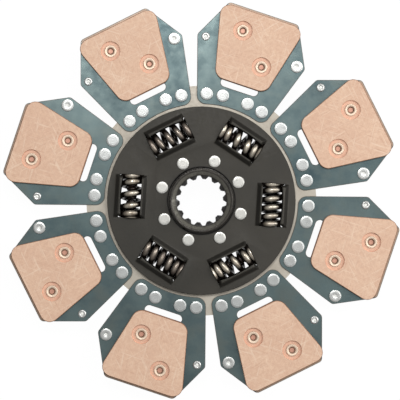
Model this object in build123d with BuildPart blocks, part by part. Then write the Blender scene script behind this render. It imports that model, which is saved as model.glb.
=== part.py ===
from build123d import *
import math
import os

# Clutch disc, 350 mm over its corners, with eight paddles and a sprung centre.
# Millimetres. Z is the axis the disc spins on, z = 0 is the middle of the carrier disc,
# and +Z points to the side with the shorter end of the hub, called the front.
# The hub, covers, rings and springs turn as one; the carrier, sheets and pads turn against them.
# Paddles and windows are drawn in frames whose x runs outwards and whose y runs round the disc.

# Paddles
paddle_count = 8
paddle_phase = 26.5
sheet_thickness = 1.0
sheet_outer_edge = 172.8
sheet_outer_half_width = 31.9
sheet_side_corner_at = 137.4
sheet_side_half_width = 49.6
sheet_side_slope = 0.325
sheet_outer_corner_radius = 4.4
sheet_side_corner_radius = 4.0
sheet_inner_corner_radius = 8.0
slot_at = 105.0
slot_length = 34.0
slot_width = 7.9

# Friction pads
pad_thickness = 3.0
pad_outer_edge = 170.8
pad_inner_edge = 106.8
pad_outer_half_width = 39.1
pad_inner_half_width = 23.4
pad_outer_corner_radius = 9.2
pad_inner_corner_radius = 8.8
counterbore_radius = 8.6
counterbore_depth = 1.7
counterbore_spots = [(152.3, 12.7), (127.3, -12.7)]
counterbore_sides = 12

# Carrier disc
carrier_radius = 100.6
carrier_thickness = 3.0
carrier_rivet_circle = 93.7
carrier_rivet_angles = [-15.7, -7.0, 7.0, 15.7]
corner_rivet_at = 137.5
corner_rivet_half_spread = 42.0

# Cover plates and their windows
cover_radius = 82.2
cover_thickness = 3.0
cover_hole_radius = 29.2
cover_to_sheet_gap = 2.4
window_count = 6
window_phase = -3.6
window_length = 37.6
window_inner_edge = 52.9
window_outer_edge = 69.1
window_crown = 1.8
lip_rise = 3.9
lip_top_width = 1.3
lip_foot_width = 4.8
lip_slope_shift = 0.8
lip_end_slope = 3.0
lip_wall = 2.6

# Hub
hub_radius = 28.0
hub_front = 12.0
hub_rear = 26.0
hub_edge_chamfer = 0.6
hub_mouth_radius = 25.8
hub_mouth_depth = 3.8
flange_radius = 41.5
spline_count = 14
spline_phase = 18.4
spline_major_radius = 22.0
spline_minor_radius = 19.1
spline_groove_mouth = 5.6
spline_groove_root = 2.6
hub_rivet_circle = 36.1

# Turning stops between the flange and the carrier
turn_limit = 7.0
stop_count = 4
stop_phase = 49.0
stop_radius = 47.0
stop_half_angle = 8.0
stop_side_clearance = 0.4
stop_clearance = 0.3

# Friction rings between the carrier and the covers
ring_thickness = 2.0
ring_outer_radius = 49.3
ring_clearance = 0.05
bearing_clearance = 0.1

# Damper springs
spring_circle = 61.25
spring_radius = 11.0
spring_wire_radius = 2.65
spring_end_clearance = 0.1
spring_side_clearance = 0.5
spring_ground_depth = 2.95
inner_spring_radius = 4.6
inner_spring_wire_radius = 1.4
inner_spring_ground_depth = 0.9
coil_clearance = 0.1
coil_steps = 8
wire_sides = 4

# Rivets, drawn with few sides because they repeat so often
head_sides = 8
shank_sides = 6
head_height = 1.0
carrier_rivet_head_radius = 5.6
carrier_rivet_shank_radius = 3.6
corner_rivet_head_radius = 5.35
corner_rivet_tail_radius = 3.65
corner_rivet_shank_radius = 2.6
hub_rivet_head_radius = 5.2
hub_rivet_shank_radius = 3.6

# Heights that follow from the stack
carrier_face = carrier_thickness / 2
sheet_face = carrier_face + sheet_thickness
cover_inner_face = carrier_face + ring_thickness
cover_face = cover_inner_face + cover_thickness
sheet_inner_radius = cover_radius + cover_to_sheet_gap
bearing_radius = flange_radius + bearing_clearance

corner_spots = [(corner_rivet_at, corner_rivet_half_spread), (corner_rivet_at, -corner_rivet_half_spread)]
carrier_rivet_spots = [
    (carrier_rivet_circle * math.cos(math.radians(angle)), carrier_rivet_circle * math.sin(math.radians(angle)))
    for angle in carrier_rivet_angles
]


def turned_plane(angle, height, side=1):
    """Plane square to the axis at side * height, with x outwards at the angle and z away from the middle."""
    outwards = (math.cos(math.radians(angle)), math.sin(math.radians(angle)), 0)
    return Plane(origin=(0, 0, side * height), x_dir=outwards, z_dir=(0, 0, side))


def paddle_plane(number, height, side=1):
    return turned_plane(paddle_phase + number * 360 / paddle_count, height, side)


def window_plane(number, height, side=1):
    return turned_plane(window_phase + number * 360 / window_count, height, side)


def all_paddles(height, side=1):
    return [paddle_plane(number, height, side) for number in range(paddle_count)]


def all_windows(height, side=1):
    return [window_plane(number, height, side) for number in range(window_count)]


def finish(part, label):
    part.label = label
    export_step(part, f"parts/{label}.step")


os.makedirs("parts", exist_ok=True)


# Splined hub: barrel, flange and the stop lugs that reach into the carrier
def ring_sector(inner_radius, outer_radius, middle, half_angle):
    """Draws the stretch of a ring that lies within the half angle of its middle."""
    with BuildLine() as outline:
        inside = CenterArc((0, 0), inner_radius, middle - half_angle, 2 * half_angle)
        outside = CenterArc((0, 0), outer_radius, middle - half_angle, 2 * half_angle)
        Line(inside @ 0, outside @ 0)
        Line(inside @ 1, outside @ 1)
    make_face(outline.edges())


with BuildPart() as splined_hub:
    with BuildSketch(Plane.XY.offset(-hub_rear)):
        Circle(hub_radius)
    extrude(amount=hub_rear + hub_front)
    end_edges = splined_hub.edges().filter_by(GeomType.CIRCLE)
    chamfer(end_edges, hub_edge_chamfer)
    with BuildSketch(Plane.XY.offset(-cover_inner_face)):
        Circle(flange_radius)
    extrude(amount=2 * cover_inner_face)
    lug_half_thickness = carrier_face - stop_clearance
    with BuildSketch(Plane.XY.offset(-lug_half_thickness)):
        for stop in range(stop_count):
            ring_sector(hub_radius, stop_radius, stop_phase + stop * 360 / stop_count, stop_half_angle)
    extrude(amount=2 * lug_half_thickness)
    with BuildSketch(Plane.XY.offset(-hub_rear)):
        Circle(spline_minor_radius)
        # Each groove starts well inside the bore, so that it cuts clean through the wall
        groove_start = spline_minor_radius / 2
        with PolarLocations(0, spline_count, spline_phase):
            Polygon(
                (groove_start, -spline_groove_mouth / 2),
                (spline_minor_radius, -spline_groove_mouth / 2),
                (spline_major_radius, -spline_groove_root / 2),
                (spline_major_radius, spline_groove_root / 2),
                (spline_minor_radius, spline_groove_mouth / 2),
                (groove_start, spline_groove_mouth / 2),
                align=None,
            )
    extrude(amount=hub_rear + hub_front, mode=Mode.SUBTRACT)
    # Both ends of the bore open out in a cone, which leads the shaft in
    for end, outwards in ((hub_front, 1), (-hub_rear, -1)):
        with BuildSketch(Plane.XY.offset(end)):
            Circle(hub_mouth_radius)
        with BuildSketch(Plane.XY.offset(end - outwards * hub_mouth_depth)):
            Circle(spline_major_radius)
        loft(mode=Mode.SUBTRACT)
    with BuildSketch(*all_paddles(-cover_inner_face)):
        with Locations((hub_rivet_circle, 0)):
            RegularPolygon(hub_rivet_shank_radius, shank_sides)
    extrude(amount=2 * cover_inner_face, mode=Mode.SUBTRACT)
finish(splined_hub.part, "splined_hub")

# Carrier disc, bored to run on the flange, notched for the stop lugs and pierced for the springs
with BuildPart() as carrier_disc:
    with BuildSketch(Plane.XY.offset(-carrier_face)):
        Circle(carrier_radius)
        Circle(bearing_radius, mode=Mode.SUBTRACT)
    extrude(amount=carrier_thickness)
    with BuildSketch(Plane.XY.offset(-carrier_face)):
        notch_radius = stop_radius + stop_clearance
        notch_half_angle = stop_half_angle + turn_limit + stop_side_clearance
        for stop in range(stop_count):
            ring_sector(hub_radius, notch_radius, stop_phase + stop * 360 / stop_count, notch_half_angle)
    extrude(amount=carrier_thickness, mode=Mode.SUBTRACT)
    with BuildSketch(*all_windows(-carrier_face)):
        with Locations((spring_circle, 0)):
            Rectangle(2 * (spring_radius + spring_side_clearance), window_length)
    extrude(amount=carrier_thickness, mode=Mode.SUBTRACT)
    with BuildSketch(*all_paddles(-carrier_face)):
        with Locations(*carrier_rivet_spots):
            RegularPolygon(carrier_rivet_shank_radius, shank_sides)
    extrude(amount=carrier_thickness, mode=Mode.SUBTRACT)
finish(carrier_disc.part, "carrier_disc")


# Cover plates: windows over the springs, with lips pressed up along both long edges
def window_opening():
    """Draws one window: straight inner edge and ends, crowned outer edge."""
    half = window_length / 2
    corners = [
        (window_outer_edge, -half),
        (window_inner_edge, -half),
        (window_inner_edge, half),
        (window_outer_edge, half),
    ]
    with BuildLine() as window_edge:
        Polyline(*corners)
        ThreePointArc(corners[-1], (window_outer_edge + window_crown, 0), corners[0])
    make_face(window_edge.edges())


def lip_profile(edge, away, low, high, shift):
    """Draws a lip's cross-section, from its foot on the plate up to the window's edge."""
    top_start = edge + away * (lip_top_width - shift)
    foot = edge + away * (lip_foot_width - shift)
    inside = edge - away * window_crown
    with BuildLine() as lip_edge:
        Polyline((foot, low), (top_start, high), (inside, high), (inside, low), close=True)
    make_face(lip_edge.edges())


def lip_planes(side):
    """Planes that stand across each window at its end, with y up from the middle of the disc."""
    planes = []
    for number in range(window_count):
        flat = window_plane(number, 0, side)
        origin = flat.from_local_coords(Vector(0, -window_length / 2, 0))
        planes.append(Plane(origin=origin, x_dir=flat.x_dir, z_dir=-flat.y_dir))
    return planes


def lip_end_planes(side):
    """Planes along each window's length, inside its inner lip, with y up from the middle of the disc."""
    planes = []
    for number in range(window_count):
        flat = window_plane(number, 0)
        origin = flat.from_local_coords(Vector(window_inner_edge - lip_foot_width, 0, 0))
        planes.append(Plane(origin=origin, x_dir=side * flat.y_dir, z_dir=flat.x_dir))
    return planes


def cover_plate(side):
    outer_top = window_outer_edge + window_crown
    lip_span = outer_top - window_inner_edge + 2 * lip_foot_width
    recess_top = cover_face + lip_rise - lip_wall
    with BuildPart() as cover:
        with BuildSketch(Plane.XY.offset(side * cover_inner_face)):
            Circle(cover_radius)
            Circle(cover_hole_radius, mode=Mode.SUBTRACT)
        extrude(amount=side * cover_thickness)
        with BuildSketch(*lip_planes(side)):
            lip_profile(window_inner_edge, -1, cover_face, cover_face + lip_rise, 0)
            lip_profile(outer_top, 1, cover_face, cover_face + lip_rise, 0)
        extrude(amount=-window_length)
        with BuildSketch(*lip_end_planes(side)):
            for end in (-1, 1):
                Polygon(
                    (end * window_length / 2, cover_face),
                    (end * window_length / 2, cover_face + lip_rise),
                    (end * (window_length / 2 - lip_end_slope), cover_face + lip_rise),
                    align=None,
                )
        extrude(amount=lip_span, mode=Mode.SUBTRACT)
        with BuildSketch(*lip_planes(side)):
            lip_profile(window_inner_edge, -1, cover_inner_face, recess_top, lip_slope_shift)
            lip_profile(outer_top, 1, cover_inner_face, recess_top, lip_slope_shift)
        extrude(amount=-window_length, mode=Mode.SUBTRACT)
        with BuildSketch(*all_windows(cover_inner_face, side)):
            window_opening()
        extrude(amount=cover_thickness + lip_rise, mode=Mode.SUBTRACT)
        with BuildSketch(*all_paddles(cover_inner_face, side)):
            with Locations((hub_rivet_circle, 0)):
                RegularPolygon(hub_rivet_shank_radius, shank_sides)
        extrude(amount=cover_thickness, mode=Mode.SUBTRACT)
    return cover.part


finish(cover_plate(1), "front_cover_plate")
finish(cover_plate(-1), "rear_cover_plate")


# Friction rings, centred by the flange, against the inner faces of the covers
def friction_ring(side):
    with BuildPart() as ring:
        with BuildSketch(Plane.XY.offset(side * (carrier_face + ring_clearance))):
            Circle(ring_outer_radius)
            Circle(bearing_radius, mode=Mode.SUBTRACT)
        extrude(amount=side * (ring_thickness - ring_clearance))
    return ring.part


finish(friction_ring(1), "front_friction_ring")
finish(friction_ring(-1), "rear_friction_ring")


# Damper springs: wire of few sides bent in straight steps round the coil, closer at both ends
def spring_end_planes(number, half_length):
    """Planes across a window at both ends of its spring, facing away from the spring."""
    flat = window_plane(number, 0)
    planes = []
    for away in (1, -1):
        origin = flat.from_local_coords(Vector(0, away * half_length, 0))
        planes.append(Plane(origin=origin, x_dir=flat.x_dir, z_dir=away * flat.y_dir))
    return planes


def coil_spring(number, radius, wire_radius, ground_depth, kind):
    """Winds a spring that fills its window; the start angle counts from the front of the coil."""
    first_closed, open_turns, last_closed, start_angle = kind
    mean_radius = radius - wire_radius
    spring_length = window_length - 2 * spring_end_clearance
    wound_length = spring_length - 2 * (wire_radius - ground_depth)
    closed_pitch = 2 * wire_radius + coil_clearance
    open_pitch = (wound_length - (first_closed + last_closed) * closed_pitch) / open_turns
    turns = first_closed + open_turns + last_closed
    flat = window_plane(number, 0)
    points = []
    step_count = round(turns * coil_steps)
    for step in range(step_count + 1):
        turn = turns * step / step_count
        opened = min(max(turn - first_closed, 0), open_turns)
        along = -wound_length / 2 + (turn - opened) * closed_pitch + opened * open_pitch
        lean = math.radians(start_angle + 360 * turn)
        local = Vector(spring_circle + mean_radius * math.sin(lean), along, mean_radius * math.cos(lean))
        points.append(flat.from_local_coords(local))
    with BuildPart() as spring:
        with BuildLine() as wire:
            Polyline(*points)
        with BuildSketch(Plane(origin=wire.line @ 0, z_dir=wire.line % 0)):
            RegularPolygon(wire_radius, wire_sides)
        sweep(path=wire.line, transition=Transition.RIGHT)
        # The end coils are ground flat where they meet the windows' ends
        for end_plane in spring_end_planes(number, spring_length / 2):
            split(bisect_by=end_plane, keep=Keep.BOTTOM)
    return spring.part


# Each winding gives the closed turns at its first end, the open turns, the closed turns at its
# last end, and the angle round the coil at which the wire starts, in the order of the windows
spring_kinds = [
    (0.82, 3.67, 1.09, -176),
    (1.6, 2.21, 1.29, 27),
    (0.86, 3.03, 1.0, -184),
    (1.13, 2.29, 1.5, -47),
    (0.49, 3.58, 1.48, -176),
    (1.84, 2.14, 1.09, 7),
]
inner_kind = (5.2, 1.2, 5.2, 0)
for number, kind in enumerate(spring_kinds):
    spring = coil_spring(number, spring_radius, spring_wire_radius, spring_ground_depth, kind)
    finish(spring, f"damper_spring_{number + 1}")
for number in range(1, window_count, 2):
    spring = coil_spring(
        number, inner_spring_radius, inner_spring_wire_radius, inner_spring_ground_depth, inner_kind
    )
    finish(spring, f"inner_spring_{number + 1}")


# Segment sheets: the same stamping on both sides of the carrier, turned over at the back
def segment_sheet(number, side):
    # The sides are drawn well past the inner arc, which then cuts them off
    inner_reach = sheet_inner_radius / 2
    inner_half_width = sheet_side_half_width - sheet_side_slope * (sheet_side_corner_at - inner_reach)
    with BuildPart() as sheet:
        with BuildSketch(paddle_plane(number, carrier_face, side)) as outline:
            Polygon(
                (sheet_outer_edge, sheet_outer_half_width),
                (sheet_side_corner_at, sheet_side_half_width),
                (inner_reach, inner_half_width),
                (inner_reach, -inner_half_width),
                (sheet_side_corner_at, -sheet_side_half_width),
                (sheet_outer_edge, -sheet_outer_half_width),
                align=None,
            )
            Circle(sheet_inner_radius, mode=Mode.SUBTRACT)
            fillet(outline.vertices().group_by(Axis.X)[0], sheet_inner_corner_radius)
            fillet(outline.vertices().group_by(Axis.X)[-2], sheet_side_corner_radius)
            fillet(outline.vertices().group_by(Axis.X)[-1], sheet_outer_corner_radius)
            with Locations((slot_at, 0)):
                SlotOverall(slot_length, slot_width, rotation=90, mode=Mode.SUBTRACT)
            with Locations(*carrier_rivet_spots):
                RegularPolygon(carrier_rivet_shank_radius, shank_sides, mode=Mode.SUBTRACT)
            with Locations(*corner_spots):
                RegularPolygon(corner_rivet_shank_radius, shank_sides, mode=Mode.SUBTRACT)
        extrude(amount=sheet_thickness)
    return sheet.part


# Friction pads: sintered blocks, counterbored for two rivets on a diagonal
def friction_pad(number, side):
    with BuildPart() as pad:
        with BuildSketch(paddle_plane(number, sheet_face, side)) as outline:
            Polygon(
                (pad_outer_edge, pad_outer_half_width),
                (pad_inner_edge, pad_inner_half_width),
                (pad_inner_edge, -pad_inner_half_width),
                (pad_outer_edge, -pad_outer_half_width),
                align=None,
            )
            fillet(outline.vertices().group_by(Axis.X)[0], pad_inner_corner_radius)
            fillet(outline.vertices().group_by(Axis.X)[-1], pad_outer_corner_radius)
        extrude(amount=pad_thickness)
        with BuildSketch(paddle_plane(number, sheet_face + pad_thickness, side)):
            with Locations(*counterbore_spots):
                RegularPolygon(counterbore_radius, counterbore_sides)
        extrude(amount=-counterbore_depth, mode=Mode.SUBTRACT)
    return pad.part


for number in range(paddle_count):
    finish(segment_sheet(number, 1), f"front_segment_{number + 1}")
    finish(segment_sheet(number, -1), f"rear_segment_{number + 1}")
    finish(friction_pad(number, 1), f"front_pad_{number + 1}")
    finish(friction_pad(number, -1), f"rear_pad_{number + 1}")

# Rivets through the covers and the flange
with BuildPart() as hub_rivets:
    with BuildSketch(*all_paddles(-cover_face)):
        with Locations((hub_rivet_circle, 0)):
            RegularPolygon(hub_rivet_shank_radius, shank_sides)
    extrude(amount=2 * cover_face)
    for side in (1, -1):
        with BuildSketch(*all_paddles(cover_face, side)):
            with Locations((hub_rivet_circle, 0)):
                RegularPolygon(hub_rivet_head_radius, head_sides)
        extrude(amount=head_height)
finish(hub_rivets.part, "hub_rivets")

# Rivets through the carrier and both sheets
with BuildPart() as carrier_rivets:
    with BuildSketch(*all_paddles(-sheet_face)):
        with Locations(*carrier_rivet_spots):
            RegularPolygon(carrier_rivet_shank_radius, shank_sides)
    extrude(amount=2 * sheet_face)
    for side in (1, -1):
        with BuildSketch(*all_paddles(sheet_face, side)):
            with Locations(*carrier_rivet_spots):
                RegularPolygon(carrier_rivet_head_radius, head_sides)
        extrude(amount=head_height)
finish(carrier_rivets.part, "carrier_rivets")

# Corner rivets: the broad head faces forward at one corner and back at the other
with BuildPart() as corner_rivets:
    with BuildSketch(*all_paddles(-sheet_face)):
        with Locations(*corner_spots):
            RegularPolygon(corner_rivet_shank_radius, shank_sides)
    extrude(amount=2 * sheet_face)
    for side in (1, -1):
        with BuildSketch(*all_paddles(sheet_face, side)):
            with Locations((corner_rivet_at, -corner_rivet_half_spread)):
                RegularPolygon(corner_rivet_head_radius, head_sides)
            with Locations((corner_rivet_at, corner_rivet_half_spread)):
                RegularPolygon(corner_rivet_tail_radius, head_sides)
        extrude(amount=head_height)
finish(corner_rivets.part, "corner_rivets")
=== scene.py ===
import math

import bmesh
import bpy
from mathutils import Matrix, Vector


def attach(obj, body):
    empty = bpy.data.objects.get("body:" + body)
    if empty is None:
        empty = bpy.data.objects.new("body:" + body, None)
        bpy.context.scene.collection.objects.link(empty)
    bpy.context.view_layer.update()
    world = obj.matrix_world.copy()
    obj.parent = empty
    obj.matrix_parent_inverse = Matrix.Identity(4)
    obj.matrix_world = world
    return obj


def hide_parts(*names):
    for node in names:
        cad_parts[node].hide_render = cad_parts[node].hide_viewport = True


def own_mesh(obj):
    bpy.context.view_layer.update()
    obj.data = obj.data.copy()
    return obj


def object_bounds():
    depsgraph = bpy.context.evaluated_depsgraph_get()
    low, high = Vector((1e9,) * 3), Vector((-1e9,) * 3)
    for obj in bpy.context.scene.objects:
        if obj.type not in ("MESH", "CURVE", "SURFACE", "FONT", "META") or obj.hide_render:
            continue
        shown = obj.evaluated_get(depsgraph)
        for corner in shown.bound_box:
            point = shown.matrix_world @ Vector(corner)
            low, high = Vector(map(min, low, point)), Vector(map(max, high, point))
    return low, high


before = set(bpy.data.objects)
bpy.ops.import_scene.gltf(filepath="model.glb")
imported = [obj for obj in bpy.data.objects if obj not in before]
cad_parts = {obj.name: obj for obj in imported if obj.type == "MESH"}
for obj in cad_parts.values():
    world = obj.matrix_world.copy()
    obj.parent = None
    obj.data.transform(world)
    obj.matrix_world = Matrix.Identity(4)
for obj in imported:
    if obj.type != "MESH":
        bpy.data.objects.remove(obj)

cad_low, cad_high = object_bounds()

# Sizes are in millimetres, as in the part's source; a finished piece is scaled to metres.
# Pieces are drawn on the front of the disc, pointing along +X, and then turned to their places.
METRE = 1000.0
WELD = 0.002
ROUND_STEPS = 48

# Angles, in degrees, past which an edge is sharp: on most pieces and on wire.
# Faces of a solid that lie within FLAT_ANGLE of each other are made one.
SHARP_ANGLE = 35
WIRE_SHARP_ANGLE = 50
FLAT_ANGLE = 1

# Widths of the rounded edges
SHEET_ROUNDING = 0.45
COVER_ROUNDING = 0.5
HUB_ROUNDING = 0.25
ROUNDING_STEPS = 2

# Paddles
PADDLE_COUNT = 8
PADDLE_PHASE = 26.5
SHEET_FACE = 2.5
SHEET_THICKNESS = 1.0

# Friction pads
PAD_FACE = 5.5
PAD_OUTER_EDGE = 170.8
PAD_INNER_EDGE = 106.8
PAD_OUTER_HALF_WIDTH = 39.1
PAD_INNER_HALF_WIDTH = 23.4
PAD_OUTER_CORNER = 9.2
PAD_INNER_CORNER = 8.8
PAD_EDGE = 0.5
BORE_RADIUS = 8.4
BORE_EDGE = 0.2
BORE_FLOOR = 3.8
RIVET_HOLE_RADIUS = 3.9
BORE_SPOTS = ((152.3, 12.7), (127.3, -12.7))
CORNER_STEPS = 8
# Places of a pad's three finishes in its list of materials
PAD_PAINT, SIDE_PAINT, BORE_PAINT = range(3)

# Rivets: heads, tails and shanks are radii
RIVET_CIRCLE = 93.7
RIVET_ANGLES = (-15.7, -7.0, 7.0, 15.7)
RIVET_HEAD = 5.6
RIVET_SHANK = 3.6
CORNER_RIVET_AT = 137.5
CORNER_RIVET_SPREAD = 42.0
CORNER_RIVET_HEAD = 5.35
CORNER_RIVET_TAIL = 3.65
CORNER_RIVET_SHANK = 2.6
HUB_RIVET_CIRCLE = 36.1
HUB_RIVET_HEAD = 5.2
HUB_RIVET_SHANK = 3.6
COVER_FACE = 6.5
HEAD_HEIGHT = 1.0

# Damper springs
WINDOW_COUNT = 6
WINDOW_PHASE = -3.6
WINDOW_LENGTH = 37.6
SPRING_CIRCLE = 61.25
SPRING_RADIUS = 11.0
SPRING_WIRE = 2.65
SPRING_GROUND = 2.95
INNER_SPRING_RADIUS = 4.6
INNER_SPRING_WIRE = 1.4
INNER_SPRING_GROUND = 0.9
END_CLEARANCE = 0.1
COIL_CLEARANCE = 0.1
GROUND_TIP_TURNS = 0.34
TURN_STEPS = 32
WIRE_SIDES = 16
# Each winding: closed turns, open turns, closed turns, and the angle at which the wire starts
SPRING_KINDS = ((0.82, 3.67, 1.09, -176), (1.6, 2.21, 1.29, 27), (0.86, 3.03, 1.0, -184),
                (1.13, 2.29, 1.5, -47), (0.49, 3.58, 1.48, -176), (1.84, 2.14, 1.09, 7))
INNER_KIND = (5.2, 1.2, 5.2, 0)
# Windows, counted from 0, whose outer spring gets a darker copy of the wire as painted shade, and those
# with an inner spring too
SHADED_WINDOWS = (2, 4)
INNER_WINDOWS = (1, 3, 5)

# Finishes and painted shade pass into each other between two heights over the disc's middle plane, the
# lips' edge from its top down,
LIP_FOOT = (6.6, 7.4)
LIP_EDGE = (10.2, 9.6)
COVER_OUTSIDE = (6.0, 6.45)
WIRE_SHADE_BAND = (8.7, 10.9)
# between two distances from its axis,
COVER_HOLE = (29.5, 30.6)
HUB_TEETH = (21.9, 23.2)
HUB_SKIN = (25.2, 25.8)
# between two distances along a paddle,
OUTER_BAND = (PAD_OUTER_EDGE - 0.6, PAD_OUTER_EDGE + 0.2)
# or between two depths under the top of a tubular rivet.
TUBE_ROLL = (0.4, 1.0)
TUBE_FLOOR = (1.95, 2.15)
HAIRLINE_ANGLES = (18, 63, 104, 151)
# Turned rings of a rivet head, as radians of their wave for each millimetre
TURNED_RINGS = 3.5

# Floor: its shade from black to white, and how strongly the camera, gloss and glass see it glow white
FLOOR_HALF_WIDTH = 3.0
FLOOR_SHADE = 0.55
FLOOR_GLOW = 1.05
FLOOR_GLOW_SHARE = 0.93

# Lamps: name, place and side in metres, power in watts
LAMPS = (("key", (1.25, 0.45, 1.5), 1.5, 21), ("overhead", (0.0, 0.0, 1.8), 1.6, 2),
         ("sheen", (-0.1, 0.54, 1.45), 0.4, 8), ("low_side", (1.7, 0.1, 0.9), 0.7, 5))
WORLD_LIGHT = 0.22

# Photograph, in metres: how far the camera stands off, how much of the disc's plane it takes in, and how
# far it stands beside the axis
CAMERA_HEIGHT = 1.5
VIEW_WIDTH = 0.350
CAMERA_OFF_CENTRE = (-0.0012, 0.0006)


# ---- Materials ----

def colour(red, green, blue):
    """A colour as seen on a screen, from 0 to 255, made linear."""
    linear = []
    for level in (red, green, blue):
        share = level / 255
        linear.append(share / 12.92 if share <= 0.04045 else ((share + 0.055) / 1.055) ** 2.4)
    return (*linear, 1.0)


def feed(tree, socket, value):
    """Links a node's input to another node's output, or sets its value."""
    if isinstance(value, bpy.types.NodeSocket):
        tree.links.new(value, socket)
    else:
        socket.default_value = value


def add_node(tree, kind, inputs=(), **settings):
    """Adds a node, with its settings, and feeds its inputs by name or number."""
    made = tree.nodes.new(kind)
    for name, value in settings.items():
        setattr(made, name, value)
    for name, value in dict(inputs).items():
        feed(tree, made.inputs[name], value)
    return made


def math_node(tree, operation, first, second=0.0):
    return add_node(tree, "ShaderNodeMath", {0: first, 1: second}, operation=operation).outputs[0]


def remap(tree, value, low, high, to_low=0.0, to_high=1.0):
    made = add_node(tree, "ShaderNodeMapRange", {
        "Value": value, "From Min": low, "From Max": high, "To Min": to_low, "To Max": to_high})
    return made.outputs[0]


def new_group(name, inputs, outputs):
    """An empty node group; inputs are (name, socket type, default) and outputs (name, socket type)."""
    group = bpy.data.node_groups.new(name, "ShaderNodeTree")
    for label, kind, default in inputs:
        socket = group.interface.new_socket(label, in_out="INPUT", socket_type=kind)
        if default is not None:
            socket.default_value = default
    for label, kind in outputs:
        group.interface.new_socket(label, in_out="OUTPUT", socket_type=kind)
    entry = group.nodes.new("NodeGroupInput")
    leave = group.nodes.new("NodeGroupOutput")
    return group, entry.outputs, leave.inputs


FLOAT = "NodeSocketFloat"
VECTOR = "NodeSocketVector"


def make_clouds():
    """Soft patches: noise of one size, spread between two levels."""
    group, take, give = new_group(
        "clouds",
        (("Vector", VECTOR, None), ("Scale", FLOAT, 40.0), ("Detail", FLOAT, 3.0),
         ("Low", FLOAT, 0.35), ("High", FLOAT, 0.65)),
        (("Mask", FLOAT),))
    noise = add_node(group, "ShaderNodeTexNoise", {
        "Vector": take["Vector"], "Scale": take["Scale"], "Detail": take["Detail"]})
    group.links.new(remap(group, noise.outputs["Fac"], take["Low"], take["High"]), give["Mask"])
    return group


def make_hairlines():
    """Fine straight scratches in several crossing directions."""
    group, take, give = new_group(
        "hairlines",
        (("Vector", VECTOR, None), ("Scale", FLOAT, 12.0), ("Stretch", FLOAT, 0.03),
         ("Low", FLOAT, 0.62), ("High", FLOAT, 0.72)),
        (("Mask", FLOAT),))
    along = add_node(group, "ShaderNodeCombineXYZ", {0: take["Stretch"], 1: 1.0, 2: 0.2})
    lines = None
    for number, angle in enumerate(HAIRLINE_ANGLES):
        turned_by = add_node(group, "ShaderNodeVectorRotate", {
            "Vector": take["Vector"], "Angle": math.radians(angle)}, rotation_type="Z_AXIS")
        drawn = add_node(group, "ShaderNodeVectorMath", {
            0: turned_by.outputs[0], 1: along.outputs[0]}, operation="MULTIPLY")
        moved = add_node(group, "ShaderNodeVectorMath", {
            0: drawn.outputs[0], 1: (number, number, 0)}, operation="ADD")
        noise = add_node(group, "ShaderNodeTexNoise", {
            "Vector": moved.outputs[0], "Scale": take["Scale"], "Detail": 2.0})
        spread = remap(group, noise.outputs["Fac"], take["Low"], take["High"])
        lines = spread if lines is None else math_node(group, "MAXIMUM", lines, spread)
    group.links.new(lines, give["Mask"])
    return group


def make_turning():
    """Fine rings left by turning, counted out from a rivet's own centre."""
    group, take, give = new_group(
        "turning",
        (("Radius", FLOAT, 0.0), ("Rings", FLOAT, 5.0)),
        (("Height", FLOAT),))
    wave = math_node(group, "SINE", math_node(group, "MULTIPLY", take["Radius"], take["Rings"]))
    group.links.new(math_node(group, "MULTIPLY", wave, 0.5), give["Height"])
    return group


CLOUDS = make_clouds()
HAIRLINES = make_hairlines()
TURNING = make_turning()


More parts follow.
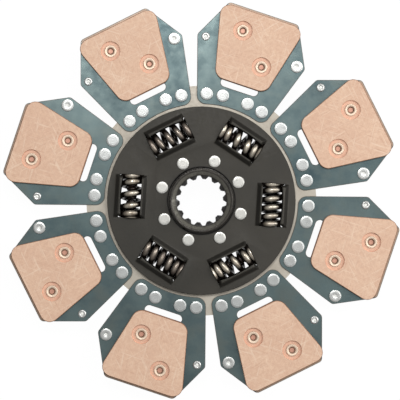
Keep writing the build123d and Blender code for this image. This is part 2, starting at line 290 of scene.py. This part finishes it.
class Finish:
    """One material: its tree, its shader and the object coordinates that its patterns follow."""

    def __init__(self, name, **constants):
        self.material = bpy.data.materials.new(name)
        self.material.use_nodes = True
        self.tree = self.material.node_tree
        self.shader = self.tree.nodes["Principled BSDF"]
        self.where = add_node(self.tree, "ShaderNodeTexCoord").outputs["Object"]
        for label, value in constants.items():
            self.shader.inputs[label.replace("_", " ")].default_value = value

    def group(self, group, **inputs):
        return add_node(self.tree, "ShaderNodeGroup", inputs, node_tree=group).outputs[0]

    def clouds(self, scale, low, high, detail=3.0):
        return self.group(CLOUDS, Vector=self.where, Scale=scale, Low=low, High=high, Detail=detail)

    def hairlines(self, scale, low, high, stretch):
        return self.group(HAIRLINES, Vector=self.where, Scale=scale, Low=low, High=high, Stretch=stretch)

    def height(self, low_mm, high_mm):
        """How far a point stands from the disc's middle plane, on either side, as a share."""
        along = add_node(self.tree, "ShaderNodeSeparateXYZ", {0: self.where}).outputs[2]
        above = math_node(self.tree, "ABSOLUTE", along)
        return remap(self.tree, above, low_mm / METRE, high_mm / METRE)

    def distance(self, low_mm, high_mm):
        """How far a point lies from the disc's axis, as a share."""
        level = add_node(self.tree, "ShaderNodeVectorMath", {
            0: self.where, 1: (1, 1, 0)}, operation="MULTIPLY")
        length = add_node(self.tree, "ShaderNodeVectorMath", {0: level.outputs[0]}, operation="LENGTH")
        return remap(self.tree, length.outputs["Value"], low_mm / METRE, high_mm / METRE)

    def attribute(self, name):
        """A number painted on the mesh's points."""
        return add_node(self.tree, "ShaderNodeAttribute", attribute_name=name).outputs["Fac"]

    def blend(self, share, first, second):
        """The first colour where the share is 0, the second where it is 1."""
        made = add_node(self.tree, "ShaderNodeMix", data_type="RGBA")
        sockets = {socket.identifier: socket for socket in (*made.inputs, *made.outputs)}
        for name, value in (("Factor_Float", share), ("A_Color", first), ("B_Color", second)):
            feed(self.tree, sockets[name], value)
        return sockets["Result_Color"]

    def tint(self, under, mask, strength, over):
        """Lays a colour over another where the mask shows, as strongly as told."""
        return self.blend(math_node(self.tree, "MULTIPLY", mask, strength), under, over)

    def link(self, label, value):
        self.tree.links.new(value, self.shader.inputs[label])

    def vary(self, label, mask, low, high):
        """Sets one of the shader's numbers to low where the mask is 0 and high where it is 1."""
        self.link(label, remap(self.tree, mask, 0, 1, low, high))

    def relief(self, height, depth_mm, strength):
        bump = add_node(self.tree, "ShaderNodeBump", {
            "Height": height, "Distance": depth_mm / METRE, "Strength": strength})
        self.link("Normal", bump.outputs[0])


def sintered_pad():
    """The pads' faces: mottled bronze, speckled and crossed by light and dark scratches."""
    made = Finish("sintered_pad", Metallic=0.0, Specular_IOR_Level=0.3)
    patches = made.clouds(38, 0.35, 0.68)
    mottle = made.clouds(340, 0.36, 0.66, 4.0)
    grain = made.clouds(1100, 0.3, 0.7, 2.0)
    lines = made.hairlines(700, 0.6, 0.72, 0.06)
    cuts = made.hairlines(640, 0.64, 0.76, 0.09)
    warm = made.blend(patches, colour(230, 193, 166), colour(238, 204, 176))
    mottled = made.tint(warm, mottle, 0.5, colour(214, 175, 150))
    speckled = made.tint(mottled, grain, 0.3, colour(190, 146, 122))
    scored = made.tint(speckled, lines, 0.45, colour(244, 220, 196))
    made.link("Base Color", made.tint(scored, cuts, 0.3, colour(188, 140, 114)))
    made.vary("Roughness", lines, 0.62, 0.48)
    half_grain = math_node(made.tree, "MULTIPLY", grain, 0.5)
    made.relief(math_node(made.tree, "SUBTRACT", half_grain, lines), 0.05, 0.5)
    return made.material


def pad_side():
    """The pads' pressed sides and rolled edge, coarser and browner than their faces; their brown is
    partly the pressed surface and partly painted shade along each pad's outline.
    """
    made = Finish("pad_side", Metallic=0.1, Roughness=0.75, Specular_IOR_Level=0.3)
    grain = made.clouds(700, 0.3, 0.7)
    # Partly painted shade: the brown of the sides and rolled edge also draws the dark outline round each
    # pad.
    made.link("Base Color", made.blend(grain, colour(150, 108, 86), colour(182, 138, 112)))
    made.relief(grain, 0.08, 0.6)
    return made.material


def counterbore_copper():
    """The counterbores of the pads, copper coloured."""
    made = Finish("counterbore_copper", Metallic=0.1, Roughness=0.55)
    patches = made.clouds(300, 0.3, 0.7)
    made.link("Base Color", made.blend(patches, colour(220, 172, 146), colour(232, 188, 160)))
    made.relief(patches, 0.05, 0.5)
    return made.material


def tempered_sheet():
    """Blued sheet: cloudy, with brown tinges, and browner and less metallic beyond the pad's outer edge.
    """
    made = Finish("tempered_sheet", Specular_IOR_Level=0.5)
    wide = made.clouds(7, 0.38, 0.64, 2.0)
    broad = made.clouds(24, 0.36, 0.64, 4.0)
    small = made.clouds(120, 0.38, 0.68, 4.0)
    brown = made.clouds(30, 0.56, 0.78, 3.0)
    blue = made.blend(wide, colour(56, 74, 79), colour(88, 102, 103))
    varied = made.tint(blue, broad, 0.5, colour(106, 124, 124))
    cloudy = made.tint(varied, small, 0.4, colour(120, 134, 131))
    tinged = made.tint(cloudy, brown, 0.45, colour(104, 106, 98))
    outer_band = remap(made.tree, made.attribute("reach_mm"), *OUTER_BAND)
    made.link("Base Color", made.blend(outer_band, tinged, colour(166, 142, 122)))
    made.vary("Metallic", outer_band, 0.7, 0.2)
    made.vary("Roughness", small, 0.38, 0.28)
    made.relief(small, 0.03, 0.4)
    return made.material


def sheared_edge():
    """The cut edges of the sheets."""
    made = Finish("sheared_edge", Metallic=0.3, Roughness=0.6)
    fine = made.clouds(600, 0.3, 0.7)
    made.link("Base Color", made.blend(fine, colour(82, 80, 74), colour(112, 106, 98)))
    return made.material


def bare_plate():
    """The carrier: bare steel with a warm grey film."""
    made = Finish("bare_plate", Metallic=0.4)
    patches = made.clouds(60, 0.35, 0.68, 4.0)
    fine = made.clouds(500, 0.35, 0.7, 2.0)
    made.link("Base Color", made.tint(colour(188, 181, 168), patches, 0.6, colour(164, 154, 140)))
    made.vary("Roughness", fine, 0.42, 0.58)
    made.relief(fine, 0.03, 0.4)
    return made.material


def black_cover():
    """Blackened plate, with painted shade: near black on its inner faces and round the hub's hole, and
    darkened on the slopes of the window lips.
    """
    made = Finish("black_cover", Metallic=0.35, Specular_IOR_Level=0.4)
    broad = made.clouds(22, 0.35, 0.7, 4.0)
    fine = made.clouds(420, 0.35, 0.68, 3.0)
    toned = made.blend(broad, colour(50, 48, 43), colour(60, 57, 51))
    rubbed = made.tint(toned, fine, 0.3, colour(68, 65, 58))
    # Painted shade: the slopes of the window lips are darkened, leaving a light line along their edges.
    slope = math_node(made.tree, "MULTIPLY", made.height(*LIP_FOOT), made.height(*LIP_EDGE))
    shaded_slopes = made.tint(rubbed, slope, 0.6, colour(26, 25, 22))
    # Painted shade: below the cover's outer face, and within a ring round the hub's hole, the plate is
    # painted near black.
    outside = math_node(made.tree, "MULTIPLY", made.height(*COVER_OUTSIDE), made.distance(*COVER_HOLE))
    made.link("Base Color", made.blend(outside, colour(16, 15, 13), shaded_slopes))
    made.vary("Roughness", fine, 0.45, 0.6)
    made.relief(fine, 0.04, 0.4)
    return made.material


def forged_hub():
    """Dark forged steel, machined round the mouth of the bore, with dark teeth."""
    made = Finish("forged_hub", Coat_Weight=0.35, Coat_Roughness=0.2)
    broad = made.clouds(60, 0.35, 0.68, 4.0)
    fine = made.clouds(600, 0.35, 0.7, 2.0)
    oiled = made.blend(broad, colour(38, 35, 31), colour(60, 56, 50))
    skin = made.distance(*HUB_SKIN)
    machined = made.blend(skin, colour(124, 121, 112), oiled)
    made.link("Base Color", made.blend(made.distance(*HUB_TEETH), colour(20, 17, 14), machined))
    made.vary("Metallic", skin, 0.5, 0.6)
    made.vary("Roughness", fine, 0.26, 0.4)
    made.relief(fine, 0.03, 0.4)
    return made.material


def spring_wire(name, light, dark):
    """Oiled wire: light on the coils' tops where they stand out of the windows, and painted near black
    further in, a painted shade.
    """
    made = Finish(name, Metallic=0.6)
    streaks = made.clouds(220, 0.35, 0.68, 3.0)
    streaked = made.blend(streaks, light, dark)
    # Painted shade: below the band the wire is painted near black, so only the coils' tops show its light
    # tone.
    made.link("Base Color", made.blend(made.height(*WIRE_SHADE_BAND), colour(28, 22, 18), streaked))
    made.vary("Roughness", streaks, 0.26, 0.42)
    made.relief(streaks, 0.03, 0.4)
    return made.material


def inner_wire():
    """The inner springs' wire, near black with faint streaks."""
    made = Finish("inner_wire", Metallic=0.6, Roughness=0.35)
    streaks = made.clouds(260, 0.35, 0.68, 3.0)
    made.link("Base Color", made.blend(streaks, colour(58, 48, 44), colour(34, 28, 25)))
    return made.material


def rivet_steel(name, light, dark, metallic, struck=0.0):
    """Bright steel with turned rings; a radius struck in the middle of the head is dull white."""
    made = Finish(name, Metallic=metallic)
    spots = made.clouds(200, 0.35, 0.75, 1.0)
    radius = made.attribute("radius_mm")
    steel = made.tint(light, spots, 0.5, dark)
    if struck:
        polished = remap(made.tree, radius, struck * 0.6, struck)
        steel = made.blend(polished, colour(240, 240, 234), steel)
        made.vary("Metallic", polished, 0, metallic)
    made.link("Base Color", steel)
    made.vary("Roughness", spots, 0.27, 0.42)
    made.relief(made.group(TURNING, Radius=radius, Rings=TURNED_RINGS), 0.05, 0.3)
    return made.material


def tube_rivet():
    """Coppered steel: pale on the rolled rim, painted brown down the tube as painted shade inside the
    hole, and reddish on its floor.
    """
    made = Finish("tube_rivet", Metallic=0.3)
    depth = made.attribute("depth_mm")
    down = remap(made.tree, depth, *TUBE_ROLL)
    # Painted shade: below the rolled rim the tube's wall is painted brown.
    rim = made.blend(down, colour(238, 214, 190), colour(134, 108, 90))
    floor = remap(made.tree, depth, *TUBE_FLOOR)
    made.link("Base Color", made.blend(floor, rim, colour(204, 152, 130)))
    made.vary("Roughness", made.clouds(500, 0.3, 0.7), 0.34, 0.5)
    return made.material


def friction_lining():
    """The friction rings between the carrier and the covers."""
    made = Finish("friction_lining", Roughness=0.8)
    fine = made.clouds(500, 0.3, 0.7)
    made.link("Base Color", made.blend(fine, colour(58, 54, 50), colour(86, 80, 74)))
    made.relief(fine, 0.08, 0.6)
    return made.material


PAD = sintered_pad()
PAD_SIDE = pad_side()
COPPER = counterbore_copper()
SHEET = tempered_sheet()
SHEARED = sheared_edge()
PLATE = bare_plate()
COVER = black_cover()
HUB = forged_hub()
WIRE = spring_wire("spring_wire", colour(226, 217, 200), colour(156, 143, 126))
# A darker copy of the spring wire, a painted shade for the springs that catch less light
DARK_WIRE = spring_wire("spring_wire_shaded", colour(166, 155, 142), colour(112, 100, 92))
INNER_WIRE = inner_wire()
RIVET = rivet_steel("rivet_steel", colour(196, 198, 196), colour(164, 166, 164), 0.75)
HUB_RIVET = rivet_steel("hub_rivet_steel", colour(212, 211, 205), colour(180, 178, 172), 0.6)
CORNER_RIVET = rivet_steel(
    "corner_rivet_steel", colour(206, 207, 204), colour(172, 173, 170), 0.75, struck=1.9)
TUBE = tube_rivet()
LINING = friction_lining()


# ---- Pieces ----

def turned(angle, side=1):
    """Takes a piece drawn on the front, pointing along +X, to its angle and its side of the disc."""
    place = Matrix.Rotation(math.radians(angle), 4, "Z")
    if side < 0:
        place = place @ Matrix.Rotation(math.pi, 4, "X")
    return place


def face_name(side):
    return "front" if side > 0 else "rear"


def paddle_angle(number):
    return PADDLE_PHASE + number * 360 / PADDLE_COUNT


def finish_piece(name, shape, materials, body, stands_for=(), sharp_from=SHARP_ANGLE):
    """Makes an object of a shape drawn in millimetres and ties it to its body."""
    bmesh.ops.remove_doubles(shape, verts=shape.verts, dist=WELD)
    bmesh.ops.recalc_face_normals(shape, faces=shape.faces)
    bmesh.ops.scale(shape, vec=Vector((1, 1, 1)) / METRE, verts=shape.verts)
    mesh = bpy.data.meshes.new(name)
    shape.to_mesh(mesh)
    shape.free()
    mesh.shade_smooth()
    mesh.set_sharp_from_angle(angle=math.radians(sharp_from))
    for material in materials:
        mesh.materials.append(material)
    piece = bpy.data.objects.new(name, mesh)
    bpy.context.scene.collection.objects.link(piece)
    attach(piece, body)
    if stands_for:
        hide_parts(*stands_for)
    return piece


def lathe(shape, profile, place, paint=0):
    """Turns a profile of (radius, height) points about its place's z axis."""
    layers = shape.verts.layers.float
    radius_layer = layers.get("radius_mm") or layers.new("radius_mm")
    depth_layer = layers.get("depth_mm") or layers.new("depth_mm")
    top = max(height for _, height in profile)
    before = set(shape.faces)
    points = []
    for radius, height in profile:
        point = shape.verts.new(place @ Vector((radius, 0, height)))
        point[radius_layer] = radius
        point[depth_layer] = top - height
        points.append(point)
    line = [shape.edges.new(pair) for pair in zip(points, points[1:])]
    bmesh.ops.spin(shape, geom=points + line, cent=place.translation,
                   axis=place.to_3x3() @ Vector((0, 0, 1)),
                   angle=2 * math.pi, steps=ROUND_STEPS, use_merge=True)
    for face in shape.faces:
        if face not in before:
            face.material_index = paint


def open_edges(shape, height):
    """Edges of one face only that lie at a height."""
    return [edge for edge in shape.edges if edge.is_boundary
            and all(abs(point.co.z - height) < WELD for point in edge.verts)]


def friction_pad(number, side):
    """A pad with rounded corners and a rolled edge, and two counterbores with holes through."""
    shape = bmesh.new()
    corners = [(PAD_OUTER_EDGE, PAD_OUTER_HALF_WIDTH), (PAD_INNER_EDGE, PAD_INNER_HALF_WIDTH),
               (PAD_INNER_EDGE, -PAD_INNER_HALF_WIDTH), (PAD_OUTER_EDGE, -PAD_OUTER_HALF_WIDTH)]
    points = [shape.verts.new((x, y, SHEET_FACE)) for x, y in corners]
    shape.faces.new(points)
    flare = math.atan2(PAD_OUTER_HALF_WIDTH - PAD_INNER_HALF_WIDTH, PAD_OUTER_EDGE - PAD_INNER_EDGE)
    outer_reach = PAD_OUTER_CORNER / math.tan((math.pi / 2 - flare) / 2)
    inner_reach = PAD_INNER_CORNER / math.tan((math.pi / 2 + flare) / 2)
    for chosen, reach in ((points[0::3], outer_reach), (points[1:3], inner_reach)):
        bmesh.ops.bevel(shape, geom=chosen, offset=reach, offset_type="OFFSET", segments=CORNER_STEPS,
                        profile=0.5, affect="VERTICES", material=-1)
    raised = bmesh.ops.extrude_face_region(shape, geom=list(shape.faces))["geom"]
    lifted = [item for item in raised if isinstance(item, bmesh.types.BMVert)]
    bmesh.ops.translate(shape, vec=(0, 0, PAD_FACE - PAD_EDGE - SHEET_FACE), verts=lifted)
    for face in shape.faces:
        face.material_index = SIDE_PAINT
    bmesh.ops.recalc_face_normals(shape, faces=shape.faces)
    by_height = sorted(shape.faces, key=lambda face: face.calc_center_median().z)
    bottom, top = by_height[0], by_height[-1]
    bmesh.ops.inset_region(shape, faces=[top], thickness=PAD_EDGE, depth=PAD_EDGE, use_even_offset=True)
    bmesh.ops.delete(shape, geom=[bottom, top], context="FACES_ONLY")
    for spot in BORE_SPOTS:
        profile = [(BORE_RADIUS + BORE_EDGE, PAD_FACE), (BORE_RADIUS, PAD_FACE - BORE_EDGE),
                   (BORE_RADIUS, BORE_FLOOR), (RIVET_HOLE_RADIUS, BORE_FLOOR),
                   (RIVET_HOLE_RADIUS, SHEET_FACE)]
        lathe(shape, profile, Matrix.Translation((*spot, 0)), paint=BORE_PAINT)
    for height, paint in ((PAD_FACE, PAD_PAINT), (SHEET_FACE, SIDE_PAINT)):
        before = set(shape.faces)
        bmesh.ops.triangle_fill(shape, edges=open_edges(shape, height), use_beauty=True, normal=(0, 0, 1))
        for face in set(shape.faces) - before:
            face.material_index = paint
    bmesh.ops.transform(shape, matrix=turned(paddle_angle(number), side), verts=shape.verts)
    node = f"{face_name(side)}_pad_{number + 1}"
    finish_piece(f"{node}_faced", shape, (PAD, PAD_SIDE, COPPER), "friction_disc",
                 (node,))


def tube_rivets(side):
    """Tubular rivets, rolled over in the counterbores, with flat heads on the sheets' inner faces.

    The profile runs from the tube's floor over its rolled rim, down its outside and round its head.
    """
    inner_face = SHEET_FACE - SHEET_THICKNESS
    floor = BORE_FLOOR
    profile = [(0, floor - 1.15), (1.9, floor - 1.15), (2.1, floor - 1.0), (2.9, floor + 0.3),
               (3.4, floor + 0.8), (4.0, floor + 1.05), (4.8, floor + 1.0), (5.35, floor + 0.55),
               (5.5, floor), (RIVET_HOLE_RADIUS, floor - 0.05), (RIVET_HOLE_RADIUS, inner_face),
               (5.2, inner_face - 0.02), (5.2, inner_face - 0.5), (4.8, inner_face - 0.8),
               (0, inner_face - 0.8)]
    shape = bmesh.new()
    for number in range(PADDLE_COUNT):
        for spot in BORE_SPOTS:
            place = turned(paddle_angle(number), side) @ Matrix.Translation((*spot, 0))
            lathe(shape, profile, place)
    finish_piece(f"{face_name(side)}_pad_rivets", shape, (TUBE,), "friction_disc")


def flat_head(radius, face):
    """Profile of a flat head with a rounded rim, from its middle out to the plate's face."""
    top = face + HEAD_HEIGHT
    return [(0, top), (radius * 0.3, top), (radius * 0.6, top), (radius - 0.55, top),
            (radius - 0.2, top - 0.12), (radius - 0.04, top - 0.35), (radius, top - 0.6), (radius, face)]


def dished_head(radius, face):
    """A flat head with a small round dimple in the middle."""
    dimple = [(0, face + 0.62), (0.7, face + 0.66), (1.3, face + 0.82), (1.8, face + 0.98)]
    return dimple + flat_head(radius, face)[2:]


def rolled_head(radius, face):
    """The formed end of a rivet: a rolled rim round a shallow hollow with a small pip in it."""
    return [(0, face + 0.62), (0.5, face + 0.58), (0.95, face + 0.38), (1.35, face + 0.42),
            (1.75, face + 0.82), (2.1, face + 0.98), (2.7, face + 1.0), (3.1, face + 0.88),
            (radius - 0.15, face + 0.55), (radius, face + 0.3), (radius, face)]


def through_profile(front, shank, rear):
    """Joins a front head and a rear head, both drawn upwards, by a shank."""
    under = front[-1][1]
    back = [(radius, -height) for radius, height in reversed(rear)]
    return front + [(shank, under), (shank, back[0][1])] + back


def rivet_set(name, node, body, material, profile, places):
    """One piece with a rivet of the same profile at each place."""
    shape = bmesh.new()
    for place in places:
        lathe(shape, profile, place)
    finish_piece(name, shape, (material,), body, (node,))


def coil(number, radius, wire, ground, kind, material, name, node):
    """Winds a spring: a ring of wire spun about the coil's axis, then ground to thin tips at both ends.

    The radius is the coil's outside, wire is the wire's own radius, and ground is how much of the
    wire grinding takes off where each closed end begins.
    """
    first_closed, open_turns, last_closed, start_angle = kind
    length = WINDOW_LENGTH - 2 * END_CLEARANCE
    wound = length - 2 * (wire - ground)
    closed_pitch = 2 * wire + COIL_CLEARANCE
    open_pitch = (wound - (first_closed + last_closed) * closed_pitch) / open_turns
    first_closed += GROUND_TIP_TURNS
    last_closed += GROUND_TIP_TURNS
    start_angle -= GROUND_TIP_TURNS * 360
    shape = bmesh.new()
    start = (Matrix.Translation((SPRING_CIRCLE, -wound / 2 - GROUND_TIP_TURNS * closed_pitch, 0))
             @ Matrix.Rotation(math.radians(start_angle), 4, "Y")
             @ Matrix.Translation((0, 0, radius - wire)) @ Matrix.Rotation(math.pi / 2, 4, "Y"))
    ring = bmesh.ops.create_circle(shape, segments=WIRE_SIDES, radius=wire, matrix=start)["verts"]
    last = ring + list(shape.edges)
    for turns, pitch in ((first_closed, closed_pitch), (open_turns, open_pitch),
                         (last_closed, closed_pitch)):
        steps = round(turns * TURN_STEPS)
        last = bmesh.ops.spin(shape, geom=last, cent=(SPRING_CIRCLE, 0, 0), axis=(0, 1, 0),
                              dvec=(0, pitch * turns / steps, 0), angle=2 * math.pi * turns,
                              steps=steps)["geom_last"]
    ends = [edge for edge in shape.edges if edge.is_boundary]
    bmesh.ops.holes_fill(shape, edges=ends, sides=WIRE_SIDES)
    for side in (1, -1):
        everything = list(shape.verts) + list(shape.edges) + list(shape.faces)
        cut = bmesh.ops.bisect_plane(
            shape, geom=everything, dist=WELD, plane_co=(0, side * length / 2, 0),
            plane_no=(0, side, 0), clear_outer=True)["geom_cut"]
        bmesh.ops.holes_fill(shape, edges=[item for item in cut if isinstance(item, bmesh.types.BMEdge)])
    place = turned(WINDOW_PHASE + number * 360 / WINDOW_COUNT)
    bmesh.ops.transform(shape, matrix=place, verts=shape.verts)
    piece = finish_piece(name, shape, (material,), "hub_assembly", (node,),
                         sharp_from=WIRE_SHARP_ANGLE)
    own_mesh(piece)


def softened(node, materials, body, width, paddle=None):
    """A copy of a rigid node with its sharp edges rounded over, in the last of its materials.

    With a paddle's number, its points also carry how far out along that paddle they lie.
    """
    shape = bmesh.new()
    shape.from_mesh(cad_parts[node].data)
    bmesh.ops.scale(shape, vec=(METRE, METRE, METRE), verts=shape.verts)
    bmesh.ops.remove_doubles(shape, verts=shape.verts, dist=WELD)
    bmesh.ops.dissolve_limit(shape, angle_limit=math.radians(FLAT_ANGLE),
                             verts=shape.verts, edges=shape.edges)
    if paddle is not None:
        reach = shape.verts.layers.float.new("reach_mm")
        outwards = turned(paddle_angle(paddle)).to_3x3() @ Vector((1, 0, 0))
        for point in shape.verts:
            point[reach] = point.co.dot(outwards)
    piece = finish_piece(f"{node}_softened", shape, materials, body, (node,))
    bevel = piece.modifiers.new("rounded_edges", "BEVEL")
    bevel.width = width / METRE
    bevel.segments = ROUNDING_STEPS
    bevel.limit_method = "ANGLE"
    bevel.angle_limit = math.radians(SHARP_ANGLE)
    bevel.use_clamp_overlap = False
    bevel.material = len(materials) - 1
    bevel.harden_normals = True


def dress(node, material):
    """Gives a CAD node its finish."""
    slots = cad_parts[node].data.materials
    slots.clear()
    slots.append(material)


for number in range(PADDLE_COUNT):
    for side in (1, -1):
        friction_pad(number, side)
        softened(f"{face_name(side)}_segment_{number + 1}", (SHEET, SHEARED), "friction_disc",
                 SHEET_ROUNDING, number)
tube_rivets(1)
tube_rivets(-1)
dress("carrier_disc", PLATE)
dress("front_friction_ring", LINING)
dress("rear_friction_ring", LINING)
softened("front_cover_plate", (COVER,), "hub_assembly", COVER_ROUNDING)
softened("rear_cover_plate", (COVER,), "hub_assembly", COVER_ROUNDING)
softened("splined_hub", (HUB,), "hub_assembly", HUB_ROUNDING)

paddles = [turned(paddle_angle(number)) for number in range(PADDLE_COUNT)]
carrier_head = flat_head(RIVET_HEAD, SHEET_FACE)
plain_rivet = through_profile(carrier_head, RIVET_SHANK, carrier_head)
rivet_set("carrier_rivets_turned", "carrier_rivets", "friction_disc", RIVET, plain_rivet, [
    paddle @ Matrix.Rotation(math.radians(angle), 4, "Z") @ Matrix.Translation((RIVET_CIRCLE, 0, 0))
    for paddle in paddles for angle in RIVET_ANGLES])
hub_head = flat_head(HUB_RIVET_HEAD, COVER_FACE)
hub_rivet = through_profile(hub_head, HUB_RIVET_SHANK, hub_head)
rivet_set("hub_rivets_turned", "hub_rivets", "hub_assembly", HUB_RIVET, hub_rivet, [
    paddle @ Matrix.Translation((HUB_RIVET_CIRCLE, 0, 0)) for paddle in paddles])
corner_rivet = through_profile(dished_head(CORNER_RIVET_HEAD, SHEET_FACE), CORNER_RIVET_SHANK,
                               rolled_head(CORNER_RIVET_TAIL, SHEET_FACE))
rivet_set("corner_rivets_turned", "corner_rivets", "friction_disc", CORNER_RIVET, corner_rivet, [
    turned(paddle_angle(number), side) @ Matrix.Translation((CORNER_RIVET_AT, -CORNER_RIVET_SPREAD, 0))
    for number in range(PADDLE_COUNT) for side in (1, -1)])

for number, kind in enumerate(SPRING_KINDS):
    coil(number, SPRING_RADIUS, SPRING_WIRE, SPRING_GROUND, kind,
         DARK_WIRE if number in SHADED_WINDOWS else WIRE,
         f"damper_spring_{number + 1}_wound", f"damper_spring_{number + 1}")
for number in INNER_WINDOWS:
    coil(number, INNER_SPRING_RADIUS, INNER_SPRING_WIRE, INNER_SPRING_GROUND, INNER_KIND, INNER_WIRE,
         f"inner_spring_{number + 1}_wound", f"inner_spring_{number + 1}")


# ---- Floor, light and camera ----

def make_floor():
    """A pale floor under the hub's rear end, shown white, with the disc's shadow kept faint."""
    made = Finish("studio_floor", Roughness=0.9)
    made.shader.inputs["Base Color"].default_value = (FLOOR_SHADE, FLOOR_SHADE, FLOOR_SHADE, 1)
    tree = made.tree
    path = add_node(tree, "ShaderNodeLightPath").outputs
    seen = math_node(tree, "MAXIMUM", path["Is Camera Ray"], path["Is Glossy Ray"])
    seen = math_node(tree, "MAXIMUM", seen, path["Is Transmission Ray"])
    glow = add_node(tree, "ShaderNodeEmission", {"Color": (1, 1, 1, 1), "Strength": FLOOR_GLOW})
    share = math_node(tree, "MULTIPLY", seen, FLOOR_GLOW_SHARE)
    mixed = add_node(tree, "ShaderNodeMixShader", {
        0: share, 1: made.shader.outputs[0], 2: glow.outputs[0]})
    tree.links.new(mixed.outputs[0], tree.nodes["Material Output"].inputs["Surface"])
    shape = bmesh.new()
    bmesh.ops.create_grid(shape, x_segments=1, y_segments=1, size=FLOOR_HALF_WIDTH,
                          matrix=Matrix.Translation((0, 0, cad_low.z)))
    mesh = bpy.data.meshes.new("floor")
    shape.to_mesh(mesh)
    shape.free()
    mesh.materials.append(made.material)
    floor = bpy.data.objects.new("floor", mesh)
    bpy.context.scene.collection.objects.link(floor)


def make_softbox(name, place, size, power):
    """A square lamp that looks at the disc's middle."""
    lamp = bpy.data.lights.new(name, "AREA")
    lamp.shape = "SQUARE"
    lamp.size = size
    lamp.energy = power
    holder = bpy.data.objects.new(name, lamp)
    holder.location = place
    holder.rotation_euler = (-Vector(place)).to_track_quat("-Z", "Y").to_euler()
    bpy.context.scene.collection.objects.link(holder)


make_floor()
for name, place, size, power in LAMPS:
    make_softbox(name, place, size, power)

world = bpy.data.worlds.new("studio")
world.use_nodes = True
sky = world.node_tree.nodes["Background"].inputs
sky["Color"].default_value = (1, 1, 1, 1)
sky["Strength"].default_value = WORLD_LIGHT
bpy.context.scene.world = world

camera_data = bpy.data.cameras.new("camera")
camera_data.sensor_width = 36.0
camera_data.lens = camera_data.sensor_width / VIEW_WIDTH * (CAMERA_HEIGHT - SHEET_FACE / METRE)
camera = bpy.data.objects.new("camera", camera_data)
camera.location = (*CAMERA_OFF_CENTRE, CAMERA_HEIGHT)
bpy.context.scene.collection.objects.link(camera)
bpy.context.scene.camera = camera
bpy.context.scene.view_settings.view_transform = "Standard"
